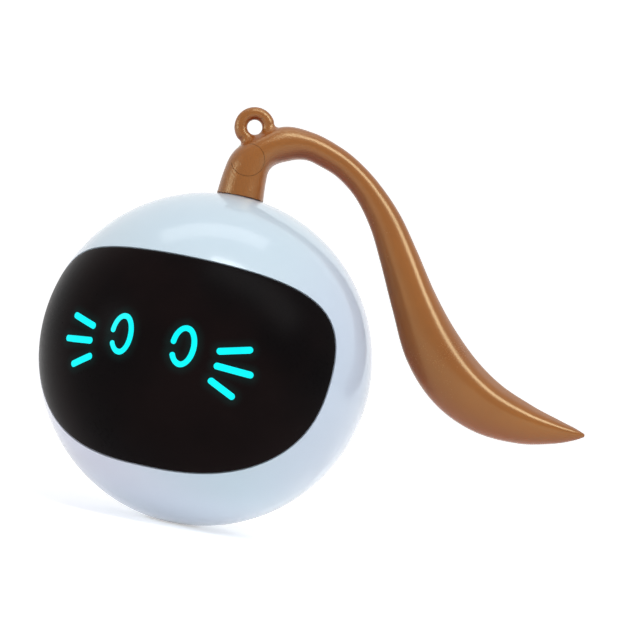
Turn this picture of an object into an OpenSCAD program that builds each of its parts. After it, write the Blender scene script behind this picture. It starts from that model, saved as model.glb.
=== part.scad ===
// Light-up rolling ball for cats: a two-part shell with a lit face window, a soft tail that
// swivels on top, and a geared motor inside that swings an eccentric weight.
// Millimetres, +Z up. The ball rests on the origin and its face looks along -Y.

/* [Ball] */

// Outside diameter of the ball
ball_d = 70; // [63:0.5:78]
// Thickness of the shell wall
wall = 2; // [1.6:0.1:2.2]
// How far the shell seam lies behind the middle of the ball
seam_y = 8.5; // [7.5:0.5:10]
// Height of the lip that centres the rear shell in the front one
lip_h = 2; // [1.2:0.2:3]
// Thickness of the lip
lip_t = 0.9; // [0.7:0.1:1]
// Radius of the posts that the shell screws bite into
post_r = 2.6; // [2.2:0.1:3]
// Length of those posts
post_len = 9; // [8:0.5:10]
// Depth of the screw head seats below the back of the seam
screw_seat = 8; // [6:0.5:9]

/* [Face window] */

// How far the face looks up, in degrees
face_tilt = 7; // [4:0.5:8]
// Half angle of the window from side to side, in degrees
window_side = 65; // [62:0.5:66]
// Angle of the window's top edge, in degrees
window_top = 25.3; // [23:0.1:26]
// Angle of the window's bottom edge below level, in degrees
window_low = 49.4; // [45:0.1:50]
// Thickness of the window
window_t = 1.4; // [1.2:0.1:1.5]
// Width of the ledge that the window is glued to
ledge_w = 1.5; // [1.2:0.1:2]
// Thickness of the ledge
ledge_t = 1.5; // [1.2:0.1:1.7]
// Gap round the edge of the window
window_gap = 0.1; // [0.05:0.01:0.2]

/* [Eyes and whiskers] */

// Angle of each eye from the middle line, in degrees
eye_side = 10.75; // [9:0.25:12]
// Angle of the eyes below level, in degrees
eye_low = 5.15; // [4:0.05:6]
// Width of an eye over its stroke
eye_w = 5.2; // [4.8:0.1:6.2]
// Height of an eye over its stroke
eye_h = 8.2; // [7.6:0.05:9.4]
// Width of the eye stroke
eye_stroke = 1.05; // [0.9:0.05:1.3]
// Width of a whisker stroke
whisker_w = 1.25; // [1.05:0.05:1.6]
// Thickness of the light guide behind the window
guide_t = 1.1; // [0.8:0.1:1.4]
// Gap round each stroke in its slot
stroke_gap = 0.06; // [0.03:0.01:0.1]
// Depth between the guide and the lamp board
lamp_depth = 7.5; // [6.5:0.1:8]

/* [Tail] */

// Turn of the tail from +X toward +Y, in degrees
tail_turn = 18.7; // [0:0.1:60]
// Diameter of the neck where it meets the ball
neck_d = 10; // [9.6:0.1:11]
// Diameter of the cord hole in the eyelet
eyelet_hole = 3.1; // [2.8:0.1:3.6]
// Outside diameter of the eyelet
eyelet_d = 8.7; // [8:0.1:9.2]
// Height of the eyelet's middle over the top of the ball
eyelet_rise = 15.1; // [14.7:0.1:16]
// Diameter of the round head of the lock pin
pin_head_d = 7.1; // [6:0.1:7.4]
// Height of the lock pin over the top of the ball
pin_rise = 7.6; // [6.8:0.1:8]
// Diameter of the lock pin's shank
pin_d = 2.2; // [1.8:0.1:2.6]
// Radius of the stem's spigot inside the neck
spigot_r = 2.5; // [2.2:0.1:2.8]
// Radius of the stem where it turns in the ball
stem_r = 3; // [2.6:0.1:3.4]
// Running gap between the stem and its bore
stem_gap = 0.08; // [0.05:0.01:0.1]
// Gap between the turning tail and the ball, and under the washer
swivel_gap = 0.2; // [0.15:0.05:0.3]

/* [Drive] */

// How many times the module of the gear teeth goes into the ball's diameter
tooth_fine = 140; // [135:1:152]
// Width of the gears
gear_t = 2; // [1.6:0.1:2.2]
// Radius of the drive axle
axle_r = 1.5; // [1.2:0.1:1.8]
// Running gap of the axle, the idler and the motor shaft
run_gap = 0.05; // [0.03:0.01:0.08]
// Thickness of the swing weight
weight_t = 12; // [10:0.5:12.5]
// Angle that the swing weight covers, in degrees
weight_arc = 150; // [120:5:170]
// Gap between the swinging weight and what lies round it
swing_gap = 1.6; // [1.2:0.1:2]
// Thickness of the frame plates
plate_t = 2; // [1.6:0.1:2.2]
// Radius of the tie rods
rod_r = 2; // [1.7:0.1:2.1]
// Gap between the far end of the motor and the face ledge
motor_gap = 0.7; // [0.4:0.1:2]
// Radius of the motor can
motor_r = 6; // [5.4:0.1:6]
// Height of the motor across its flats
motor_flat = 10; // [9:0.2:10.6]

/* [Power and control] */

// Thickness of the circuit boards
board_t = 1.2; // [0.8:0.1:1.6]
// Length of the battery cell
cell_l = 22; // [16:1:23]
// Width of the battery cell
cell_w = 14; // [10:0.5:14.5]
// Thickness of the battery cell
cell_t = 4.4; // [3.4:0.1:4.8]
// Radius of the power button
button_r = 4.4; // [3.8:0.1:4.8]
// How far the power button goes in
button_travel = 0.4; // [0.2:0.05:0.5]
// Height of the power button over the middle of the ball
button_rise = 7; // [6.6:0.1:7.4]
// Depth of the charging socket below the middle of the ball
port_drop = 6.5; // [6:0.1:8]
// Radius of the wires
wire_r = 0.6; // [0.4:0.05:0.8]

/* [Hidden] */

$fn = 64;
eps = 0.01;

// Radii of the ball and of the face layers
r_out = ball_d / 2;
r_in = r_out - wall;
window_r = r_out - window_t;
glue_gap = 0.02;
ledge_r1 = window_r - glue_gap;
ledge_r0 = ledge_r1 - ledge_t;
guide_r1 = window_r - glue_gap;
guide_r0 = guide_r1 - guide_t;
window_mid = -7.5;
window_facets = 120;
rim_w = 1.6;
lit_proud = 0.02;

// Lamp board, weight and main board, each placed from the one before
lamp_front = guide_r0 - lamp_depth;
lamp_back = lamp_front - board_t;
weight_r = lamp_back - swing_gap;
board_front = weight_r + swing_gap + 0.6;
board_back = board_front + board_t;

// Whiskers as inner and outer ends, degrees to the side and above level
whiskers = [[21.6, -4.25, 32.85, -0.8], [21.85, -8.75, 35.2, -8.75], [21.3, -13.45, 31.25, -17.35]];

// Gear train in the plane across the axle, angles from +Y toward +Z
pinion_teeth = 12;
wheel_teeth = 36;
tooth_shift = 0.35;
backlash = 0.12;
tooth = ball_d / tooth_fine;
gear_mid = tooth * (pinion_teeth + wheel_teeth) / 2;
wheel_tip = tooth * (wheel_teeth / 2 + 1 - tooth_shift);
motor_shaft_r = 0.75;
shaft_room = 0.925;
motor_far = wheel_tip + motor_shaft_r + shaft_room;
motor_angle = 223;
idler_angle = motor_angle + acos(motor_far / 2 / gear_mid);
motor_pos = [motor_far * cos(motor_angle), motor_far * sin(motor_angle)];
idler_pos = [gear_mid * cos(idler_angle), gear_mid * sin(idler_angle)];
mesh_angle = atan2(motor_pos[1] - idler_pos[1], motor_pos[0] - idler_pos[0]);
pinion_root = tooth * (pinion_teeth / 2 - 1.25 + tooth_shift);

// Places along the axle
flange_t = 0.6;
flange_r = axle_r + 2;
bush_r = axle_r + 1;
end_float = 0.2;
low_wheel_x1 = -weight_t / 2 - 0.5;
low_wheel_x0 = low_wheel_x1 - gear_t;
top_wheel_x1 = low_wheel_x0 - 0.4;
top_wheel_x0 = top_wheel_x1 - gear_t - 0.4;
motor_plate_x1 = top_wheel_x0 - end_float - flange_t;
motor_plate_x0 = motor_plate_x1 - plate_t;
hub_x1 = weight_t / 2 + 2;
bearing_plate_x0 = hub_x1 + end_float + flange_t;
bearing_plate_x1 = bearing_plate_x0 + plate_t;
hub_r = axle_r + 3;

// Frame plates and the ribs that hold them in the shells
plate_gap = 0.25;
rib_t = 1.5;
rib_gap = 0.1;
rib_depth = 2;
rod_ring = weight_r + rod_r + 0.9;
rod_pos = [for (s = [-1, 1]) [s * rod_ring * sin(38.5), -rod_ring * cos(38.5)]];
plate_front = -(rod_ring * sin(38.5) + rod_r + 0.4);
plate_back = board_front - 2.4;
plate_hole_r = 4;
plate_hole_ring = -plate_front - plate_hole_r - 1.5;
lead_notch = [3.6, 3.2];
motor_plate_r = sqrt(pow(r_in, 2) - pow(motor_plate_x0, 2)) - plate_gap;
bearing_plate_r = sqrt(pow(r_in, 2) - pow(bearing_plate_x1, 2)) - plate_gap;
frame_screw_r = 0.9;
frame_head_r = 1.8;
frame_head_h = 1.1;
frame_screw_len = 6;

// Battery hung under the swing weight
shelf_top = -(weight_r + 0.7);
shelf_t = 1.2;
shelf_l = 20;
tape_t = 0.5;
cell_top = shelf_top - shelf_t - tape_t;
cell_mid_x = (motor_plate_x1 + bearing_plate_x0) / 2;
tab_w = 8;
tab_gap = 0.05;

// Tail swivel on the top of the ball
seat_z = sqrt(pow(r_out, 2) - pow(neck_d / 2 + 0.3, 2));
boss_len = 5;
boss_r = stem_r + 3;
boss_z0 = seat_z - boss_len;
shoulder_r = stem_r + 1.1;
shoulder_t = 1;
base_z = seat_z + swivel_gap;
spigot_top = r_out + 10.6;
washer_t = 0.8;
washer_r = stem_r + 1.8;
swivel_screw_r = 0.9;
pin_floor = spigot_r + 0.25;
pin_gap = 0.06;

// Rear shell, closing screws and board posts
lip_gap = 0.08;
seam_r = sqrt(pow(r_in, 2) - pow(seam_y, 2));
lip_r = seam_r + lip_t;
shell_screw_r = 1;
head_gap = 0.2;
head_r = 2;
tube_r = head_r + head_gap + 1;
boss_ring = r_in - 7;
boss_x = -motor_plate_x0 + frame_head_h + 0.5 + tube_r;
boss_turn = acos(boss_x / boss_ring);
board_x = 13;
board_z = 13.5;
board_post = [10.5, 11];
board_screw_r = 0.7;

// Charging socket, switch and button
socket_w = 8.94;
socket_h = 3.26;
socket_skin = 0.3;
port_gap = 0.25;
port_face = sqrt(pow(r_out, 2) - pow(port_drop + 3.4, 2)) - 1.1;
switch_h = 3;
plunger_r = 1.6;
plunger_out = 0.6;
switch_top = board_back + switch_h;
button_foot = switch_top + plunger_out + 0.02;
button_flange_t = 0.7;
button_flange_r = button_r + 0.9;
button_gap = 0.12;
button_proud = 0.4;

// Colours
shell_blue = [0.80, 0.87, 0.92];
window_dark = [0.06, 0.05, 0.06];
lit_cyan = [0.03, 0.97, 1.0];
tail_brown = [0.59, 0.39, 0.25];
steel = [0.72, 0.73, 0.75];
zinc = [0.56, 0.57, 0.58];
brass_tone = [0.78, 0.62, 0.32];
white_nylon = [0.90, 0.90, 0.87];
frame_grey = [0.42, 0.45, 0.48];
board_green = [0.07, 0.32, 0.18];
black_plastic = [0.09, 0.09, 0.10];
cell_silver = [0.70, 0.72, 0.74];
tape_white = [0.88, 0.86, 0.80];
wire_red = [0.70, 0.12, 0.10];

// Solids along one axis

module seated() {
    translate([0, 0, r_out]) children();
}

module face_frame() {
    rotate([-face_tilt, 0, 0]) children();
}

module tail_frame() {
    rotate([0, 0, tail_turn]) children();
}

module rod_x(x0, x1, r, y = 0, z = 0) {
    translate([x0, y, z]) rotate([0, 90, 0]) cylinder(r = r, h = x1 - x0);
}

module rod_y(y0, y1, r, x = 0, z = 0) {
    translate([x, y0, z]) rotate([-90, 0, 0]) cylinder(r = r, h = y1 - y0);
}

module rod_z(z0, z1, r, x = 0, y = 0) {
    translate([x, y, z0]) cylinder(r = r, h = z1 - z0);
}

module box(x0, x1, y0, y1, z0, z1) {
    translate([x0, y0, z0]) cube([x1 - x0, y1 - y0, z1 - z0]);
}

module slice_x(x0, x1) {
    translate([x0, 0, 0]) rotate([90, 0, 90]) linear_extrude(height = x1 - x0) children();
}

module orb(r) {
    rotate([0, 90, 0]) sphere(r = r);
}

module hollow_orb(r0, r1) {
    difference() {
        orb(r1);
        orb(r0);
    }
}

// A screw that points along -Z from the underside of its head
module screw(shank, length, head, head_h) {
    difference() {
        union() {
            cylinder(r = head, h = head_h);
            translate([0, 0, -length]) cylinder(r = shank, h = length + eps);
        }
        translate([-head * 0.6, -head * 0.11, head_h * 0.45]) cube([head * 1.2, head * 0.22, head_h]);
        translate([-head * 0.11, -head * 0.6, head_h * 0.45]) cube([head * 0.22, head * 1.2, head_h]);
    }
}

// Outline of the face window as a cone from the middle of the ball

function power(v, n) = pow(abs(v), n);
function face_dir(side, up) = [sin(side) * cos(up), -cos(side) * cos(up), sin(up)];
function outline_reach(t, n) = pow(power(cos(t), n) + power(sin(t), n), -1 / n);
function outline_angles(t, grow) =
    let (n = sin(t) >= 0 ? 4.46 : 2.43)
    let (high = sin(t) >= 0 ? window_top - window_mid : window_low + window_mid)
    let (k = outline_reach(t, n))
    [(window_side + grow) * k * cos(t), window_mid + (high + grow) * k * sin(t)];
function as_degrees(length) = length / r_out * 180 / PI;

module face_cone(grow_mm) {
    far = 2 * r_out;
    grow = as_degrees(grow_mm);
    ring = [for (i = [0:window_facets - 1]) let (a = outline_angles(i * 360 / window_facets, grow))
        far * face_dir(a[0], a[1])];
    points = concat([[0, 0, 0], far * face_dir(0, window_mid)], ring);
    sides = [for (i = [0:window_facets - 1]) [0, 2 + i, 2 + (i + 1) % window_facets]];
    cap = [for (i = [0:window_facets - 1]) [1, 2 + (i + 1) % window_facets, 2 + i]];
    polyhedron(points = points, faces = concat(sides, cap));
}

// Lit strokes, each drawn on its tangent plane and pushed out from the middle of the ball

module toward(side, up) {
    rotate([0, 0, side]) rotate([-up, 0, 0]) rotate([90, 0, 0]) children();
}

function eye_point(t, inset) = [(eye_w / 2 - inset) * cos(t), (eye_h / 2 - inset) * sin(t)];

// Rounded end of an eye's stroke at one turn, for the stroke's far end with a way of 1, else -1
function eye_end(t, way, grow) =
    let (along = way * unit([(eye_stroke - eye_w) * sin(t), (eye_h - eye_stroke) * cos(t)]))
    let (side = [along[1], -along[0]])
    [for (a = [15:15:165]) eye_point(t, eye_stroke / 2)
        + (eye_stroke / 2 + grow) * (cos(a) * side + sin(a) * along)];

module eye_shape(grow) {
    from = -144;
    to = 171.5;
    steps = 44;
    turn = (to - from) / steps;
    outer = [for (i = [0:steps]) eye_point(from + i * turn, -grow)];
    inner = [for (i = [0:steps]) eye_point(to - i * turn, eye_stroke + grow)];
    polygon(concat(outer, eye_end(to, 1, grow), inner, eye_end(from, -1, grow)));
}

module whisker_shape(length, grow) {
    r = whisker_w / 2 + grow;
    half = length / 2 - whisker_w / 2;
    square([2 * half, 2 * r], center = true);
    translate([half, 0]) circle(r = r);
    translate([-half, 0]) circle(r = r);
}

module strokes(grow, r0, r1) {
    intersection() {
        orb(r1);
        union() {
            for (s = [-1, 1]) {
                toward(s * eye_side, -eye_low) translate([0, 0, r0]) linear_extrude(height = r1 - r0)
                    eye_shape(grow);
                for (w = whiskers) {
                    a = face_dir(w[0], w[1]);
                    b = face_dir(w[2], w[3]);
                    m = (a + b) / norm(a + b);
                    side = atan2(m[0], -m[1]);
                    up = asin(m[2]);
                    across = [cos(side), sin(side), 0];
                    over = cross(m, across);
                    slope = atan2((b - a) * over, (b - a) * across);
                    length = norm(b - a) * r_out;
                    toward(s * side, up) translate([0, 0, r0]) linear_extrude(height = r1 - r0)
                        rotate(s * slope) whisker_shape(length, grow);
                }
            }
        }
    }
}

// Face assembly

guide_size = [1.23 * r_out, 0.715 * r_out];
lamp_post_r = 1.4;
lamp_screw_r = 0.6;
lamp_bite = 2.6;
lamp_post_x = lamp_front * tan(29);
lamp_w = 2 * (lamp_post_x + lamp_post_r + 0.9);
lamp_h = 15.5;
lamp_mid = -2.4;
lamp_post_z = lamp_h / 2 - lamp_post_r - 0.45;
lamp_posts = [for (sx = [-1, 1]) for (sz = [-1, 1]) [sx * lamp_post_x, lamp_mid + sz * lamp_post_z]];

module face_window() {
    color(window_dark) face_frame() difference() {
        intersection() {
            hollow_orb(window_r, r_out);
            face_cone(0);
        }
        strokes(stroke_gap, window_r - 1, r_out + 1);
    }
}

module guide_patch() {
    intersection() {
        hollow_orb(guide_r0, guide_r1);
        toward(0, -8) translate([0, 0, guide_r0 / 2]) linear_extrude(height = guide_r1)
            square(guide_size, center = true);
    }
}

module face_light_guide() {
    color(lit_cyan) face_frame() difference() {
        union() {
            guide_patch();
            strokes(0, guide_r0 + guide_t / 2, r_out + lit_proud);
            intersection() {
                orb(guide_r0 + guide_t / 2);
                for (p = lamp_posts) rod_y(-r_out, -lamp_front, lamp_post_r, p[0], p[1]);
            }
        }
        for (p = lamp_posts) rod_y(-lamp_front - lamp_bite - 0.4, -lamp_front + 1, lamp_screw_r, p[0], p[1]);
    }
}

module led_board() {
    color(board_green) face_frame() difference() {
        box(-lamp_w / 2, lamp_w / 2, -lamp_front, -lamp_back, lamp_mid - lamp_h / 2, lamp_mid + lamp_h / 2);
        for (p = lamp_posts) rod_y(-lamp_front - 1, -lamp_back + 1, lamp_screw_r, p[0], p[1]);
    }
}

module lamp_at(side, up) {
    d = face_dir(side, up);
    x = lamp_front * d[0] / -d[1];
    z = lamp_front * d[2] / -d[1];
    box(x - 1, x + 1, -lamp_front - 0.8, -lamp_front, z - 0.6, z + 0.6);
}

module face_leds() {
    color(white_nylon) face_frame() for (s = [-1, 1]) {
        lamp_at(s * eye_side, -eye_low + 5);
        lamp_at(s * eye_side, -eye_low - 5);
        lamp_at(s * 26, -2.2);
        lamp_at(s * 24.6, -8.75);
        lamp_at(s * 22, -15.2);
    }
}

module led_board_screws() {
    color(steel) face_frame() for (p = lamp_posts)
        translate([p[0], -lamp_back, p[1]]) rotate([-90, 0, 0])
            screw(lamp_screw_r, board_t + lamp_bite, 1.2, 0.8);
}

// Shells

module behind_seam(y) {
    box(-2 * r_out, 2 * r_out, y, 3 * r_out, -2 * r_out, 2 * r_out);
}

module before_seam(y) {
    box(-2 * r_out, 2 * r_out, -3 * r_out, y, -2 * r_out, 2 * r_out);
}

function in_wall(off_axis) = sqrt(pow(r_in + wall / 2, 2) - pow(off_axis, 2));

module plate_ribs() {
    for (p = [[motor_plate_x0, motor_plate_x1, motor_plate_r],
            [bearing_plate_x0, bearing_plate_x1, bearing_plate_r]])
        for (x0 = [p[0] - rib_gap - rib_t, p[1] + rib_gap])
            difference() {
                rod_x(x0, x0 + rib_t, in_wall(max(abs(x0), abs(x0 + rib_t))));
                rod_x(x0 - 1, x0 + rib_t + 1, p[2] - rib_depth);
                for (q = rod_pos) rod_x(x0 - 1, x0 + rib_t + 1, rod_r + 0.4, q[0], q[1]);
            }
}

module at_screws() {
    for (a = [boss_turn, 180 - boss_turn, 180 + boss_turn, 360 - boss_turn])
        rotate([0, -a, 0]) translate([boss_ring, 0, 0]) children();
}

module front_posts() {
    at_screws() {
        rod_y(seam_y - post_len, seam_y, post_r);
        box(0, r_in + wall / 2 - boss_ring, seam_y - post_len, seam_y - lip_h - 0.5, -0.8, 0.8);
    }
}

module swivel_boss() {
    rod_z(boss_z0, in_wall(boss_r), boss_r);
}

// The wall turned about Y, from the middle of the face back to the seam
module front_wall() {
    rotate([-90, 0, 0]) rotate_extrude() intersection() {
        difference() {
            circle(r = r_out);
            circle(r = r_in);
        }
        translate([0, -2 * r_out]) square([2 * r_out, 2 * r_out + seam_y]);
    }
}

module front_shell() {
    color(shell_blue) difference() {
        union() {
            difference() {
                union() {
                    front_wall();
                    intersection() {
                        plate_ribs();
                        before_seam(seam_y);
                    }
                    face_frame() intersection() {
                        hollow_orb(ledge_r0, r_in + wall / 3);
                        face_cone(rim_w);
                    }
                }
                rod_y(seam_y - lip_h - 0.1, seam_y + 1, lip_r + lip_gap);
                face_frame() face_cone(-ledge_w);
                face_frame() difference() {
                    face_cone(window_gap);
                    orb(ledge_r1);
                }
            }
            front_posts();
            swivel_boss();
        }
        at_screws() rod_y(seam_y - post_len + 1.5, seam_y + 1, shell_screw_r);
        rod_z(seat_z, 2 * r_out, r_out / 2);
        rod_z(0, 2 * r_out, stem_r + stem_gap);
    }
}

module rear_shell() {
    color(shell_blue) difference() {
        union() {
            intersection() {
                union() {
                    hollow_orb(r_in, r_out);
                    intersection() {
                        plate_ribs();
                        before_seam(plate_back);
                    }
                }
                behind_seam(seam_y);
            }
            difference() {
                rod_y(seam_y - lip_h, seam_y + 1.6, lip_r);
                rod_y(seam_y - lip_h - 1, seam_y + 2, lip_r - lip_t);
                at_screws() rod_y(0, seam_y, post_r + 0.4);
                rod_z(0, 2 * r_out, boss_r + 0.4);
                rod_x(motor_plate_x0 - 0.4, motor_plate_x1 + 0.4, motor_plate_r + 0.4);
                rod_x(bearing_plate_x0 - 0.4, bearing_plate_x1 + 0.4, bearing_plate_r + 0.4);
            }
            intersection() {
                orb(r_in + wall / 3);
                union() {
                    at_screws() rod_y(seam_y, r_out, tube_r);
                    for (sx = [-1, 1]) for (sz = [-1, 1])
                        rod_y(board_back, r_out, 2, sx * board_post[0], sz * board_post[1]);
                    rod_y(button_foot + button_travel, r_out, button_flange_r + 1.6, 0, button_rise);
                }
            }
        }
        at_screws() rod_y(0, r_out, shell_screw_r + 0.15);
        at_screws() rod_y(seam_y + screw_seat, 2 * r_out, head_r + head_gap);
        for (sx = [-1, 1]) for (sz = [-1, 1])
            rod_y(board_back - 1, board_back + 2.8, board_screw_r, sx * board_post[0], sz * board_post[1]);
        rod_y(0, 2 * r_out, button_r + button_gap, 0, button_rise);
        rod_y(0, button_foot + button_flange_t + 0.05, button_flange_r + 0.25, 0, button_rise);
        port_hole(port_gap, 0, port_face);
        port_hole(1.9, port_face, 2 * r_out);
    }
}

module port_hole(grow, y0, y1) {
    h = socket_h / 2 + grow;
    w = socket_w / 2 - socket_h / 2;
    box(-w, w, y0, y1, -port_drop - h, -port_drop + h);
    for (s = [-1, 1]) rod_y(y0, y1, h, s * w, -port_drop);
}

module shell_screws() {
    color(steel) at_screws() translate([0, seam_y + screw_seat, 0]) rotate([-90, 0, 0])
        screw(shell_screw_r, screw_seat + post_len - 3, head_r, 1.4);
}

// Tail, drawn in its own plane with X away from the ball

// Spine points: distance out, height over the top of the ball, width in the plane, depth across it
spine = [
    [0, base_z - r_out, neck_d, neck_d], [0.1, 4.2, 9.3, 9.4], [0.7, 7.4, 8.7, 9.1],
    [3.0, 10.4, 7.3, 8.6], [7.2, 13.0, 7.4, 7.6], [12, 13.55, 6.1, 6.8],
    [16.5, 12.5, 5.8, 6.3], [21, 10.6, 5.6, 6.0], [26.1, 6.9, 5.9, 6.0],
    [31.2, 1.25, 7.0, 6.4], [35.7, -5.8, 8.3, 7.0], [40.9, -14.6, 10.0, 8.0],
    [46.5, -22.9, 12.4, 9.2], [52.8, -29.0, 13.0, 9.6], [60.1, -32.9, 11.8, 8.8],
    [68.3, -34.7, 9.1, 7.2], [75.2, -35, 5.7, 4.8], [79.6, -34.8, 2.9, 2.6], [82, -34.6, 0.7, 0.7]
];
spine_cuts = 4;
tail_sides = 24;

function mix(a, b, c, d, t) =
    0.5 * (2 * b + (c - a) * t + (2 * a - 5 * b + 4 * c - d) * t * t + (3 * b - a - 3 * c + d) * t * t * t);
function curve_at(list, i, t) =
    let (n = len(list) - 1)
    mix(list[max(i - 1, 0)], list[i], list[min(i + 1, n)], list[min(i + 2, n)], t);
function curve(list, cuts) = concat(
    [for (i = [0:len(list) - 2]) for (k = [0:cuts - 1]) curve_at(list, i, k / cuts)],
    [list[len(list) - 1]]);
function unit(v) = v / norm(v);
function heading(path, i) =
    let (n = len(path) - 1)
    unit(path[min(i + 1, n)] - path[max(i - 1, 0)]);

// Rings of points joined into one skin, closed at both ends
module skin(rings) {
    n = len(rings[0]);
    m = len(rings);
    points = [for (ring = rings) for (p = ring) p];
    walls = [for (j = [0:m - 2]) for (i = [0:n - 1]) for (k = [0, 1])
        let (a = j * n + i, b = j * n + (i + 1) % n)
        k == 0 ? [a, b, b + n] : [a, b + n, a + n]];
    start = [[for (i = [n - 1:-1:0]) i]];
    end = [[for (i = [0:n - 1]) (m - 1) * n + i]];
    polyhedron(points = points, faces = concat(walls, start, end));
}

module tail_body() {
    path = curve(spine, spine_cuts);
    flat = [for (p = path) [p[0], p[1]]];
    rings = [for (j = [0:len(path) - 1])
        let (p = path[j])
        let (t = j == 0 ? [0, 1] : heading(flat, j))
        let (side = [t[1], -t[0]])
        [for (i = [0:tail_sides - 1])
            let (a = i * 360 / tail_sides)
            let (u = p[2] / 2 * cos(a), v = -p[3] / 2 * sin(a))
            [p[0] + side[0] * u, v, r_out + p[1] + side[1] * u]]];
    skin(rings);
}

module eyelet_ring() {
    thick = eyelet_d / 4 - eyelet_hole / 4 + 0.08;
    translate([0, 0, r_out + eyelet_rise]) rotate([90, 0, 0]) rotate_extrude()
        translate([eyelet_d / 2 - thick, 0]) circle(r = thick);
}

module tail() {
    color(tail_brown) tail_frame() difference() {
        union() {
            tail_body();
            eyelet_ring();
        }
        rod_y(-r_out, r_out, eyelet_hole / 2, 0, r_out + eyelet_rise);
        rod_z(0, spigot_top, spigot_r);
        rod_z(0, base_z + shoulder_t - swivel_gap / 2, shoulder_r);
        rod_y(-r_out, -pin_floor, pin_head_d / 2, 0, r_out + pin_rise);
        rod_y(-pin_floor - 1, pin_floor + 0.6, pin_d / 2, 0, r_out + pin_rise);
    }
}

module tail_lock_pin() {
    color(tail_brown) tail_frame() union() {
        intersection() {
            tail_body();
            rod_y(-r_out, -pin_floor, pin_head_d / 2 - pin_gap, 0, r_out + pin_rise);
        }
        rod_y(-pin_floor - 0.3, pin_floor + 0.6, pin_d / 2, 0, r_out + pin_rise);
    }
}

module tail_stem() {
    color(white_nylon) tail_frame() difference() {
        union() {
            rod_z(boss_z0 - swivel_gap, seat_z + swivel_gap / 2, stem_r);
            rod_z(seat_z + swivel_gap / 2, base_z + shoulder_t - swivel_gap / 2, shoulder_r);
            rod_z(base_z, spigot_top, spigot_r);
        }
        rod_y(-r_out, r_out, pin_d / 2, 0, r_out + pin_rise);
        rod_z(0, r_out + 2.5, swivel_screw_r);
    }
}

module swivel_washer() {
    color(steel) difference() {
        rod_z(boss_z0 - swivel_gap - washer_t, boss_z0 - swivel_gap, washer_r);
        rod_z(0, r_out, swivel_screw_r + 0.1);
    }
}

module swivel_screw() {
    color(steel) translate([0, 0, boss_z0 - swivel_gap - washer_t]) rotate([180, 0, 0])
        screw(swivel_screw_r, 8, 1.9, 1.2);
}

// Frame

module plate_blank(x0, x1, r) {
    difference() {
        intersection() {
            rod_x(x0, x1, r);
            box(-r_out, r_out, plate_front, plate_back, -r_out, r_out);
        }
        rod_x(x0 - 1, x1 + 1, bush_r);
        for (p = rod_pos) rod_x(x0 - 1, x1 + 1, frame_screw_r, p[0], p[1]);
        box(x0 - 1, x1 + 1, -tab_w / 2 - tab_gap, tab_w / 2 + tab_gap,
            shelf_top - shelf_t - tab_gap, shelf_top + tab_gap);
    }
}

motor_boss_r = 2.2;
motor_boss_gap = 0.05;
motor_screw_r = 0.8;
motor_screw_far = 4.2;
motor_screw_pos = [for (s = [-1, 1]) [motor_pos[0] - s * motor_screw_far * sin(motor_angle),
    motor_pos[1] + s * motor_screw_far * cos(motor_angle)]];

module motor_plate() {
    color(frame_grey) difference() {
        plate_blank(motor_plate_x0, motor_plate_x1, motor_plate_r);
        rod_x(motor_plate_x0 - 1, motor_plate_x1 + 1, motor_boss_r + motor_boss_gap,
            motor_pos[0], motor_pos[1]);
        box(motor_plate_x0 - 1, motor_plate_x1 + 1, plate_back - lead_notch[0], plate_back + 1,
            -lead_notch[1], lead_notch[1]);
        rod_x(motor_plate_x0 - 1, motor_plate_x1 + 1, idler_pin_r, idler_pos[0], idler_pos[1]);
        for (p = motor_screw_pos) rod_x(motor_plate_x0 - 1, motor_plate_x1 + 1, motor_screw_r, p[0], p[1]);
    }
}

module bearing_plate() {
    color(frame_grey) difference() {
        plate_blank(bearing_plate_x0, bearing_plate_x1, bearing_plate_r);
        for (a = [50, 130, 180]) translate([0, plate_hole_ring * cos(a), plate_hole_ring * sin(a)])
            rod_x(bearing_plate_x0 - 1, bearing_plate_x1 + 1, plate_hole_r);
    }
}

module tie_rods() {
    color(steel) for (p = rod_pos) difference() {
        rod_x(motor_plate_x1, bearing_plate_x0, rod_r, p[0], p[1]);
        rod_x(motor_plate_x1 - 1, motor_plate_x1 + frame_screw_len, frame_screw_r, p[0], p[1]);
        rod_x(bearing_plate_x0 - frame_screw_len, bearing_plate_x0 + 1, frame_screw_r, p[0], p[1]);
    }
}

module frame_screws() {
    color(steel) for (p = rod_pos) {
        translate([motor_plate_x0, p[0], p[1]]) rotate([0, -90, 0])
            screw(frame_screw_r, plate_t + frame_screw_len - 1, frame_head_r, frame_head_h);
        translate([bearing_plate_x1, p[0], p[1]]) rotate([0, 90, 0])
            screw(frame_screw_r, plate_t + frame_screw_len - 1, frame_head_r, frame_head_h);
    }
}

// Gears

function involute(r, base) = let (c = min(1, base / r)) tan(acos(c)) - acos(c) * PI / 180;
function polar(r, a) = [r * cos(a), r * sin(a)];

module gear_shape(teeth, shift) {
    pitch = tooth * teeth / 2;
    base = pitch * cos(20);
    tip = pitch + tooth * (1 + shift);
    root = pitch - tooth * (1.25 - shift);
    thick = tooth * (PI / 2 + 2 * shift * tan(20)) - backlash / 2;
    low = max(base, root);
    steps = 4;
    radii = [for (i = [0:steps]) low + (tip - low) * i / steps];
    half = [for (r = radii) (thick / 2 / pitch + involute(pitch, base) - involute(r, base)) * 180 / PI];
    outline = [for (k = [0:teeth - 1]) for (i = [0:2 * steps + 3])
        let (c = k * 360 / teeth)
        i == 0 ? polar(root, c - half[0])
        : i <= steps + 1 ? polar(radii[i - 1], c - half[i - 1])
        : i <= 2 * steps + 2 ? polar(radii[2 * steps + 2 - i], c + half[2 * steps + 2 - i])
        : polar(root, c + half[0])];
    polygon(outline);
}

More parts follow.
